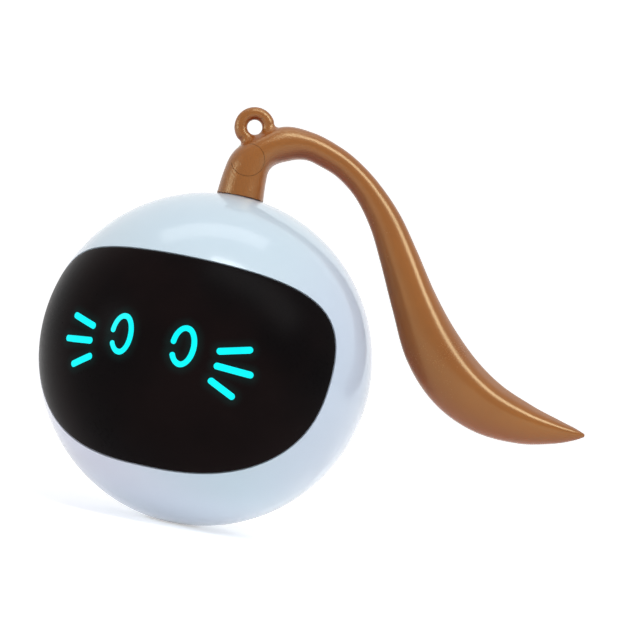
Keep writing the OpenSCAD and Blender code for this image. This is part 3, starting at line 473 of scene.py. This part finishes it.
# A whisker's inner and outer end, each as degrees to the side and up from the face's axis.
whiskers = ((21.6, -4.25, 32.85, -0.8), (21.85, -8.75, 35.2, -8.75), (21.3, -13.45, 31.25, -17.35))
slot_gap = 0.00006
slot_ends = (ball_radius - 0.0024, ball_radius + 0.001)
eye_first, eye_last, eye_cuts = -144, 171.5, 44
eye_cap_angles = (22.5, 45, 67.5)
painted_glow_every = 4


def outward(side, up):
    return (face_turn @ Matrix.Rotation(math.radians(side), 4, "Z")
            @ Matrix.Rotation(math.radians(-up), 4, "X") @ Matrix.Rotation(math.radians(90), 4, "X"))


def eye_outline(grow):
    turns = [math.radians(eye_first + (eye_last - eye_first) * i / eye_cuts) for i in range(eye_cuts + 1)]
    outer, middle, inner = (
        [Vector(((eye_wide / 2 - inset) * math.cos(t), (eye_high / 2 - inset) * math.sin(t)))
         for t in turns]
        for inset in (-grow, eye_stroke / 2, eye_stroke + grow))
    half = eye_stroke / 2 + grow
    for end, near in ((0, 1), (eye_cuts, eye_cuts - 1)):
        along = (middle[end] - middle[near]).normalized()
        square = Vector((along.y, -along.x)) * (1 if end else -1)
        caps = []
        for a in eye_cap_angles:
            tip = middle[end] + along * half * math.sin(math.radians(a))
            aside = square * half * math.cos(math.radians(a))
            caps.append((tip + aside, tip - aside))
        if end:
            outer += [cap[0] for cap in caps]
            inner += [cap[1] for cap in caps]
        else:
            outer = [cap[0] for cap in caps[::-1]] + outer
            inner = [cap[1] for cap in caps[::-1]] + inner
    return outer, inner


slots = bmesh.new()
strokes_near = []


def slot_wall(base, top):
    for i in range(len(base)):
        j = (i + 1) % len(base)
        slots.faces.new((base[i], base[j], top[j], top[i]))


for s in (-1, 1):
    turn = outward(s * eye_side, -eye_low)
    outer, inner = eye_outline(slot_gap)
    levels = []
    for height in slot_ends:
        levels.append([[slots.verts.new(turn @ Vector((x, y, height))) for x, y in line]
                       for line in (outer, inner)])
    (low_out, low_in), (top_out, top_in) = levels
    slot_wall(low_out + low_in[::-1], top_out + top_in[::-1])
    for i in range(len(outer) - 1):
        slots.faces.new((low_out[i], low_out[i + 1], low_in[i + 1], low_in[i]))
        slots.faces.new((top_out[i], top_out[i + 1], top_in[i + 1], top_in[i]))
    ring = [turn @ Vector(((o[0] + n[0]) / 2, (o[1] + n[1]) / 2, ball_radius))
            for o, n in zip(outer, inner)]
    strokes_near += list(zip(ring[::painted_glow_every], ring[painted_glow_every::painted_glow_every]))
    for side_a, up_a, side_b, up_b in whiskers:
        a, b = face_way(side_a, up_a), face_way(side_b, up_b)
        middle = (a + b).normalized()
        side = math.degrees(math.atan2(middle.x, -middle.y))
        up = math.degrees(math.asin(middle.z))
        across = Vector((math.cos(math.radians(side)), math.sin(math.radians(side)), 0))
        over = middle.cross(across)
        slope = s * math.atan2((b - a).dot(over), (b - a).dot(across))
        half = (b - a).length * ball_radius / 2 - whisker_wide / 2
        radius = whisker_wide / 2 + slot_gap
        turn = outward(s * side, up) @ Matrix.Rotation(slope, 4, "Z")
        capsule = [(half + radius * math.cos(math.radians(t)), radius * math.sin(math.radians(t)))
                   for t in range(-90, 91, 12)]
        capsule += [(-x, -y) for x, y in capsule]
        base, top = ([slots.verts.new(turn @ Vector((x, y, height))) for x, y in capsule]
                     for height in slot_ends)
        slot_wall(base, top)
        slots.faces.new(base)
        slots.faces.new(top)
        strokes_near.append(tuple(turn @ Vector((x, 0, ball_radius)) for x in (-half, half)))
carve(window_piece, closed_mesh("slots", slots))
smooth_shaded(window_piece, degrees=35)

# The window's cyan glow near the strokes is painted light: the window is no lamp, and the glow stands for
# light leaking round the strokes.
painted_glow_starts, painted_glow_ends = 0.0005, 0.0026
painted_glow_reach, start, end = node_group(
    "near_stroke",
    [("End", "Vector", (0, 0, 0)), ("Along", "Vector", (0, 0, 0)), ("Best", "Float", 0.0)],
    [("Near", "Float")])
spot = add(painted_glow_reach, "ShaderNodeTexCoord")
away = add(painted_glow_reach, "ShaderNodeVectorMath", operation="SUBTRACT")
painted_glow_reach.links.new(spot.outputs["Object"], away.inputs[0])
painted_glow_reach.links.new(start.outputs["End"], away.inputs[1])
shares = []
for first in (away.outputs[0], start.outputs["Along"]):
    dot = add(painted_glow_reach, "ShaderNodeVectorMath", operation="DOT_PRODUCT")
    painted_glow_reach.links.new(first, dot.inputs[0])
    painted_glow_reach.links.new(start.outputs["Along"], dot.inputs[1])
    shares.append(dot.outputs["Value"])
share = add(painted_glow_reach, "ShaderNodeClamp")
painted_glow_reach.links.new(worked(painted_glow_reach, "DIVIDE", shares[0], shares[1]), share.inputs["Value"])
foot = add(painted_glow_reach, "ShaderNodeVectorMath", operation="SCALE")
painted_glow_reach.links.new(start.outputs["Along"], foot.inputs[0])
painted_glow_reach.links.new(share.outputs[0], foot.inputs["Scale"])
gap = add(painted_glow_reach, "ShaderNodeVectorMath", operation="DISTANCE")
painted_glow_reach.links.new(away.outputs[0], gap.inputs[0])
painted_glow_reach.links.new(foot.outputs[0], gap.inputs[1])
close = ranged(painted_glow_reach, gap.outputs["Value"], painted_glow_starts, painted_glow_ends, 1.0, 0.0)
painted_glow_reach.links.new(worked(painted_glow_reach, "MAXIMUM", close, start.outputs["Best"]), end.inputs["Near"])

window_look, tree, surface, _ = plastic(
    "smoked_gloss", linear(11, 9, 10), linear(22, 15, 15),
    mottle=34.0, grain=1200.0, gloss=0.26, matt=0.34, depth=0.015,
    IOR=1.45, Specular_IOR_Level=0.02, Emission_Strength=0.012)
near = None
for first, last in strokes_near:
    painted_glow_node = add(tree, "ShaderNodeGroup", node_tree=painted_glow_reach)
    painted_glow_node.inputs["End"].default_value = first
    painted_glow_node.inputs["Along"].default_value = last - first
    if near:
        tree.links.new(near, painted_glow_node.inputs["Best"])
    near = painted_glow_node.outputs["Near"]
# Painted glow: cyan emission on the window near the strokes, black elsewhere.
painted_glow = mixed(tree, near, (0, 0, 0, 1), linear(60, 230, 220))
tree.links.new(painted_glow, surface.inputs["Emission Color"])
window_piece.data.materials.clear()
window_piece.data.materials.append(window_look)
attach(window_piece, "ball")
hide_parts("face_window")


# Light guide: one clear plastic moulding with the two eyes and six whiskers on it, set behind the window.
# Lamps on a small board behind it light all its strokes evenly in cyan.
guide_look, tree, surface, _ = plastic(
    "lit_cyan", linear(2, 60, 70), linear(2, 50, 60),
    mottle=300.0, grain=2500.0, gloss=0.12, matt=0.2, depth=0.02,
    Specular_IOR_Level=0.05, Emission_Strength=1.0)
guide_glow = mixed(tree, ranged(tree, noise(tree, 350.0), 0.35, 0.65, 0.0, 1.0),
                   linear(8, 247, 255), linear(13, 252, 255))
tree.links.new(guide_glow, surface.inputs["Emission Color"])
dress(("face_light_guide",), guide_look)


# Tail: one soft moulding in brown rubber with its neck and cord eyelet, and the head of the lock pin
# flush in the neck. Its section grows a rounded ridge toward the tip.
tail_aim = math.radians(18.7)
tail_turn = Matrix.Translation((0, 0, 2 * ball_radius)) @ Matrix.Rotation(tail_aim, 4, "Z")
ball_mm, bore_mm, bore_gap_mm = 35, 5.3, 0.2
neck_foot = math.sqrt(ball_mm ** 2 - bore_mm ** 2) + bore_gap_mm - ball_mm
# The spine's points in millimetres: out from the neck, up from the ball's top, width and depth there.
spine = [(0, neck_foot, 10, 10), (0.1, 4.2, 9.3, 9.4), (0.7, 7.4, 8.7, 9.1),
         (3.0, 10.4, 7.3, 8.6), (7.2, 13.0, 7.4, 7.6), (12, 13.55, 6.1, 6.8),
         (16.5, 12.5, 5.8, 6.3), (21, 10.6, 5.6, 6.0), (26.1, 6.9, 5.9, 6.0),
         (31.2, 1.25, 7.0, 6.4), (35.7, -5.8, 8.3, 7.0), (40.9, -14.6, 10.0, 8.0),
         (46.5, -22.9, 12.4, 9.2), (52.8, -29.0, 13.0, 9.6), (60.1, -32.9, 11.8, 8.8),
         (68.3, -34.7, 9.1, 7.2), (75.2, -35, 5.7, 4.8), (79.6, -34.8, 2.9, 2.6), (82, -34.6, 0.7, 0.7)]
spine_cuts, tail_sides = 14, 72
ridge_high, ridge_from, ridge_over, ridge_turn = 0.1, 9.8, 3.4, math.radians(109)
ridge_wide, hollow_wide, hollow_off, hollow_deep = 0.42, 0.4, 0.8, 0.6
knots = np.array(spine)
line, marks = [], []
for i in range(len(knots) - 1):
    a, b, c, d = (knots[min(max(i + k, 0), len(knots) - 1)] for k in (-1, 0, 1, 2))
    for k in range(spine_cuts):
        t = k / spine_cuts
        line.append(0.5 * (2 * b + (c - a) * t + (2 * a - 5 * b + 4 * c - d) * t ** 2
                           + (3 * b - a - 3 * c + d) * t ** 3))
        marks.append(i + t)
line.append(knots[-1])
marks.append(len(knots) - 1)
line = np.array(line)

tail = bmesh.new()
rings = []
for j, (out_by, height, wide, deep) in enumerate(line):
    step = line[min(j + 1, len(line) - 1)][:2] - line[max(j - 1, 0)][:2]
    way = np.array((0.0, 1.0)) if j == 0 else step / np.linalg.norm(step)
    ridge = ridge_high * min(max((marks[j] - ridge_from) / ridge_over, 0.0), 1.0)
    ring = []
    for i in range(tail_sides):
        turn = 2 * math.pi * i / tail_sides
        off = abs(turn if turn <= math.pi else turn - 2 * math.pi) - ridge_turn
        swell = 1 + ridge * (math.exp(-(off / ridge_wide) ** 2)
                             - hollow_deep * math.exp(-((off - hollow_off) / hollow_wide) ** 2))
        across = wide / 2 * math.cos(turn) * swell
        depth = -deep / 2 * math.sin(turn) * swell
        point = Vector((out_by + way[1] * across, depth, height - way[0] * across)) / 1000
        ring.append(tail.verts.new(tail_turn @ point))
    rings.append(ring)
for near, far in zip(rings, rings[1:]):
    for i in range(tail_sides):
        j = (i + 1) % tail_sides
        tail.faces.new((near[i], near[j], far[j], far[i]))
for ring in (rings[0], rings[-1]):
    tail.faces.new(ring)
bmesh.ops.recalc_face_normals(tail, faces=tail.faces)
sweep_tree = BVHTree.FromBMesh(tail)

eyelet_middle = Vector((0, 0, 0.0151))
eyelet_ring, eyelet_tube = 0.00294, 0.00138
loop_steps, loop_sides = 96, 40
loop_rows = []
for i in range(loop_steps):
    turn = 2 * math.pi * i / loop_steps
    arm = Vector((math.cos(turn), 0, math.sin(turn)))
    row = []
    for k in range(loop_sides):
        bend = 2 * math.pi * k / loop_sides
        point = eyelet_middle + arm * (eyelet_ring + eyelet_tube * math.cos(bend))
        row.append(tail.verts.new(tail_turn @ (point + Vector((0, eyelet_tube * math.sin(bend), 0)))))
    loop_rows.append(row)
for i in range(loop_steps):
    near, far = loop_rows[i], loop_rows[(i + 1) % loop_steps]
    for k in range(loop_sides):
        n = (k + 1) % loop_sides
        tail.faces.new((near[k], far[k], far[n], near[n]))
tail_piece = new_object("soft_tail", closed_mesh("soft_tail", tail))
skin_cell = 0.00028
skin_over = tail_piece.modifiers.new("one_skin", "REMESH")
skin_over.mode = "VOXEL"
skin_over.voxel_size = skin_cell
applied(tail_piece)

tail_mesh = tail_piece.data
points = np.empty(len(tail_mesh.vertices) * 3)
tail_mesh.vertices.foreach_get("co", points)
points = points.reshape(-1, 3)
edges = np.empty(len(tail_mesh.edges) * 2, dtype=int)
tail_mesh.edges.foreach_get("vertices", edges)
edges = edges.reshape(-1, 2)
back_turn = tail_turn.inverted()
corner_out, corner_high, corner_reach = 0.0046, 0.0083, 0.008
joint_reach = 0.0014
joint_share = np.zeros(len(points))
for n, point in enumerate(points):
    spot, _, _, off_sweep = sweep_tree.find_nearest(Vector(point))
    local = back_turn @ Vector(point) - eyelet_middle
    off_corner = math.hypot(local.x - corner_out, local.z + eyelet_middle.z - corner_high)
    flat = math.hypot(local.x, local.z)
    off_loop = abs(math.hypot(flat - eyelet_ring, local.y) - eyelet_tube)
    joint_share[n] = max(0.0, 1 - max(off_sweep, off_loop) / joint_reach,
                         0.5 - off_corner / corner_reach)
    if off_sweep < off_loop:
        points[n] = spot
    elif flat > 1e-6:
        arm = Vector((local.x / flat, 0, local.z / flat))
        reach = Vector((flat - eyelet_ring, local.y, 0)).normalized() * eyelet_tube
        points[n] = tail_turn @ (eyelet_middle + arm * (eyelet_ring + reach.x)
                                 + Vector((0, reach.y, 0)))
count = np.zeros(len(points))
np.add.at(count, edges[:, 0], 1)
np.add.at(count, edges[:, 1], 1)
even_gain, even_most, even_rounds = 2.2, 0.6, 46
even = np.clip(joint_share * even_gain, 0, even_most)[:, None]
for _ in range(even_rounds):
    total = np.zeros_like(points)
    np.add.at(total, edges[:, 0], points[edges[:, 1]])
    np.add.at(total, edges[:, 1], points[edges[:, 0]])
    points += even * (total / count[:, None] - points)
tail_mesh.vertices.foreach_set("co", points.ravel())
tail_mesh.update()


def lathe(profile, turn, steps=64):
    made = bmesh.new()
    rows = []
    for along, radius in profile:
        row = []
        for i in range(steps):
            a = 2 * math.pi * i / steps
            row.append(made.verts.new(turn @ Vector((radius * math.cos(a), radius * math.sin(a), along))))
        rows.append(row)
    for near, far in zip(rows, rows[1:]):
        for i in range(steps):
            j = (i + 1) % steps
            made.faces.new((near[i], near[j], far[j], far[i]))
    made.faces.new(rows[0])
    made.faces.new(rows[-1])
    return closed_mesh("tool", made)


pin_high, pin_end, pin_shank, pin_shoulder = 0.0076, -0.00335, 0.0011, 0.00275
pin_head, pin_hole, past_tail = 0.00347, 0.00355, 0.02
stem_wide, stem_thin, stem_step, stem_top = 0.0041, 0.0025, (neck_foot + 0.9) / 1000, 0.0106
pin_turn = (tail_turn @ Matrix.Translation((0, 0, pin_high))
            @ Matrix.Rotation(math.radians(90), 4, "X"))


def pin_shape(head):
    return lathe([(pin_end, pin_shank), (pin_shoulder, pin_shank), (pin_shoulder, head), (past_tail, head)],
                 pin_turn)


pin_piece = new_object("lock_pin", tail_mesh.copy())
carve(pin_piece, pin_shape(pin_head), "INTERSECT")
carve(tail_piece, lathe([(-past_tail, stem_wide), (stem_step, stem_wide), (stem_step, stem_thin),
                         (stem_top, stem_thin)], tail_turn))
carve(tail_piece, pin_shape(pin_hole))

rubber_look, tree, surface, skin = plastic(
    "brown_rubber", (0.247, 0.063, 0.002, 1), (0.217, 0.052, 0.0015, 1),
    mottle=70.0, grain=3400.0, gloss=0.2, matt=0.28,
    IOR=1.5, Specular_IOR_Level=1.0, Specular_Tint=(1.0, 0.85, 0.5, 1),
    Sheen_Weight=0.08, Sheen_Roughness=0.4, Sheen_Tint=(1.0, 0.72, 0.55, 1))
grainy_neck = add(tree, "ShaderNodeSeparateXYZ")
tree.links.new(add(tree, "ShaderNodeTexCoord").outputs["Object"], grainy_neck.inputs["Vector"])
neck_grain = worked(tree, "MULTIPLY", skin.outputs["Height"],
                    ranged(tree, grainy_neck.outputs["X"], 0.006, 0.022, 1.0, 0.15))
tree.links.new(bumped(tree, neck_grain, 0.6, grain_deep), surface.inputs["Normal"])
specks = add(tree, "ShaderNodeTexVoronoi", feature="F1")
specks.inputs["Scale"].default_value = 420.0
tree.links.new(add(tree, "ShaderNodeTexCoord").outputs["Object"], specks.inputs["Vector"])
dust = worked(tree, "MULTIPLY", ranged(tree, specks.outputs["Distance"], 0.03, 0.09, 1.0, 0.0),
              ranged(tree, noise(tree, 160.0), 0.6, 0.68, 0.0, 1.0))
# Painted shade: faces that turn downward get a darker red-brown, standing for the shade under the tail.
facing = add(tree, "ShaderNodeSeparateXYZ")
tree.links.new(add(tree, "ShaderNodeTexCoord").outputs["Normal"], facing.inputs["Vector"])
painted_shade_brown, dust_pale = (0.2, 0.022, 0.003, 1), linear(206, 160, 118)
painted_shade_underside = mixed(tree, ranged(tree, facing.outputs["Z"], -0.85, 0.0, 1.0, 0.0),
                 skin.outputs["Color"], painted_shade_brown)
tree.links.new(mixed(tree, dust, painted_shade_underside, dust_pale), surface.inputs["Base Color"])
for piece in (tail_piece, pin_piece):
    smooth_shaded(piece, degrees=40)
    piece.data.materials.clear()
    piece.data.materials.append(rubber_look)
    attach(piece, "tail_body")
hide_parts("tail")
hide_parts("tail_lock_pin")


# Nylon pieces: the stem that the tail turns on, the gears, the lamps' lenses and the switch plunger,
# all moulded in natural nylon with a faint waxy mottle.
nylon_look, *_ = plastic(
    "natural_nylon", (0.74, 0.73, 0.67, 1), (0.66, 0.65, 0.58, 1),
    mottle=260.0, grain=3200.0, gloss=0.34, matt=0.46, depth=0.06,
    Subsurface_Weight=0.1, Subsurface_Scale=0.001)
dress(("tail_stem", "output_gear", "idler_gear", "face_leds", "switch_plunger"), nylon_look)


# Drive frame and battery shelf: two plates and a shelf moulded in grey plastic with a spark-eroded grain.
# The plates sit between ribs in the shells, and the shelf's tabs go through both of them.
frame_look, *_ = plastic(
    "grey_moulding", linear(108, 114, 121), linear(96, 102, 110),
    mottle=180.0, grain=2800.0, gloss=0.48, matt=0.62, depth=0.12)
dress(("motor_plate", "bearing_plate", "battery_shelf"), frame_look)


# Black mouldings: the motor's end cap, the controller's case and the body of the switch.
# They are matt, with a fine grain and a slightly greyer bloom in places.
black_look, *_ = plastic(
    "black_moulding", linear(22, 22, 24), linear(32, 32, 34),
    mottle=220.0, grain=3600.0, gloss=0.42, matt=0.58, depth=0.1)
dress(("motor_end_cap", "controller_chip", "button_switch"), black_look)


# Steel pieces: screws, washer, tie rods, axle, pins, motor can and shaft, and the charging socket.
# Drawn or turned stock, with fine lines along the grain and a dull plating.
drawn, start, end = node_group(
    "drawn_metal", [("Bright", "Color", (0.7, 0.7, 0.7, 1)), ("Dull", "Color", (0.5, 0.5, 0.5, 1)),
                    ("Gloss", "Float", 0.25), ("Matt", "Float", 0.4)],
    [("Color", "Color"), ("Roughness", "Float"), ("Height", "Float")])
lines = noise(drawn, 900.0, detail=3.0, rough=0.6, stretch=(0.06, 1.0, 1.0))
stain = noise(drawn, 140.0, detail=4.0)
drawn_tint = mixed(drawn, ranged(drawn, stain, 0.35, 0.7, 0.0, 1.0),
                   start.outputs["Bright"], start.outputs["Dull"])
drawn_gloss = ranged(drawn, lines, 0.3, 0.7, start.outputs["Gloss"], start.outputs["Matt"])
drawn.links.new(drawn_tint, end.inputs["Color"])
drawn.links.new(drawn_gloss, end.inputs["Roughness"])
drawn.links.new(lines, end.inputs["Height"])
line_deep = 0.00005


def metal(name, bright, dull, gloss, matt, depth=None):
    material, tree = node_material(name)
    surface = shader(tree, Metallic=1.0)
    skin = add(tree, "ShaderNodeGroup", node_tree=drawn)
    for label, value in (("Bright", bright), ("Dull", dull), ("Gloss", gloss), ("Matt", matt)):
        skin.inputs[label].default_value = value
    tree.links.new(skin.outputs["Color"], surface.inputs["Base Color"])
    tree.links.new(skin.outputs["Roughness"], surface.inputs["Roughness"])
    if depth is not None:
        tree.links.new(bumped(tree, skin.outputs["Height"], depth, line_deep), surface.inputs["Normal"])
    return material, tree, surface


steel_look, *_ = metal("plated_steel", (0.62, 0.63, 0.65, 1), (0.5, 0.51, 0.53, 1),
                       gloss=0.22, matt=0.36, depth=0.2)
dress(("shell_screws", "led_board_screws", "swivel_washer", "swivel_screw", "tie_rods", "frame_screws",
       "motor_can", "motor_shaft", "motor_screws", "idler_pin", "drive_axle", "usb_socket",
       "board_screws"), steel_look)


# Brass pieces: the motor's pinion and wound armature, the axle bushes and the can of the motion sensor.
# They are turned, warm in colour, with a brown tarnish that gathers in patches.
brass_look, *_ = metal("turned_brass", (0.74, 0.55, 0.24, 1), (0.55, 0.38, 0.16, 1),
                       gloss=0.2, matt=0.34, depth=0.18)
dress(("motor_armature", "motor_pinion", "axle_bushes", "vibration_sensor"), brass_look)


# Swing weight: a half disc of die-cast zinc on the axle, with the pebbled skin of a casting.
# It hangs low, and as the motor drives it round it makes the ball roll.
weight_look, tree, surface = metal("cast_zinc", (0.36, 0.37, 0.38, 1), (0.27, 0.28, 0.29, 1),
                                   gloss=0.45, matt=0.62)
pebble_deep = 0.0001
pebble = add(tree, "ShaderNodeTexVoronoi", feature="SMOOTH_F1")
pebble.inputs["Scale"].default_value = 1100.0
tree.links.new(add(tree, "ShaderNodeTexCoord").outputs["Object"], pebble.inputs["Vector"])
tree.links.new(bumped(tree, pebble.outputs["Distance"], 0.35, pebble_deep), surface.inputs["Normal"])
dress(("swing_weight",), weight_look)


# Battery: a pouch cell in wrinkled foil, held under the shelf by a pad of foam tape.
# The foil is soft and dull silver, and the foam shows its open cells.
foil_look, tree, surface = metal("pouch_foil", (0.72, 0.73, 0.75, 1), (0.62, 0.63, 0.66, 1),
                                 gloss=0.24, matt=0.34)
crease_deep, cell_deep = 0.0004, 0.0002
creases = noise(tree, 210.0, detail=4.0, rough=0.62)
tree.links.new(bumped(tree, creases, 0.5, crease_deep), surface.inputs["Normal"])
dress(("battery_cell",), foil_look)
foam_look, tree, surface, _ = plastic(
    "foam_tape", (0.74, 0.71, 0.63, 1), (0.64, 0.61, 0.53, 1),
    mottle=320.0, grain=1800.0, gloss=0.8, matt=0.95)
cells = add(tree, "ShaderNodeTexVoronoi", feature="F1")
cells.inputs["Scale"].default_value = 1500.0
tree.links.new(add(tree, "ShaderNodeTexCoord").outputs["Object"], cells.inputs["Vector"])
tree.links.new(bumped(tree, cells.outputs["Distance"], 0.6, cell_deep), surface.inputs["Normal"])
dress(("battery_tape",), foam_look)


# Circuit boards: green laminate with copper tracks under the varnish, one for the lamps and one
# that carries the controller, the motion sensor, the switch and the charging socket.
board_look, tree, surface, skin = plastic(
    "green_laminate", (0.012, 0.09, 0.035, 1), (0.009, 0.07, 0.028, 1),
    mottle=150.0, grain=2600.0, gloss=0.26, matt=0.36,
    Coat_Weight=0.3, Coat_Roughness=0.12)
track_green, track_deep = (0.03, 0.17, 0.05, 1), 0.00006
tracks = add(tree, "ShaderNodeTexBrick", offset=0.5, squash=1.0)
tracks.inputs["Scale"].default_value = 260.0
tracks.inputs["Mortar Size"].default_value = 0.06
tracks.inputs["Mortar Smooth"].default_value = 0.2
flat = add(tree, "ShaderNodeMapping")
flat.inputs["Rotation"].default_value = (math.radians(90), 0, 0)
tree.links.new(add(tree, "ShaderNodeTexCoord").outputs["Object"], flat.inputs["Vector"])
tree.links.new(flat.outputs["Vector"], tracks.inputs["Vector"])
board_tint = mixed(tree, tracks.outputs["Fac"], skin.outputs["Color"], track_green)
tree.links.new(board_tint, surface.inputs["Base Color"])
tree.links.new(bumped(tree, tracks.outputs["Fac"], 0.4, track_deep), surface.inputs["Normal"])
dress(("led_board", "main_board"), board_look)


# Wires: pairs of soft red leads from the cell, the motor and the lamp board, soldered to the main board.
# Their skin is satin, with a faint cloudiness.
wire_look, *_ = plastic(
    "red_wire_skin", (0.42, 0.016, 0.012, 1), (0.34, 0.012, 0.01, 1),
    mottle=240.0, grain=2200.0, gloss=0.38, matt=0.5, depth=0.05)
dress(("battery_leads", "motor_leads", "led_leads"), wire_look)

low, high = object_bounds()
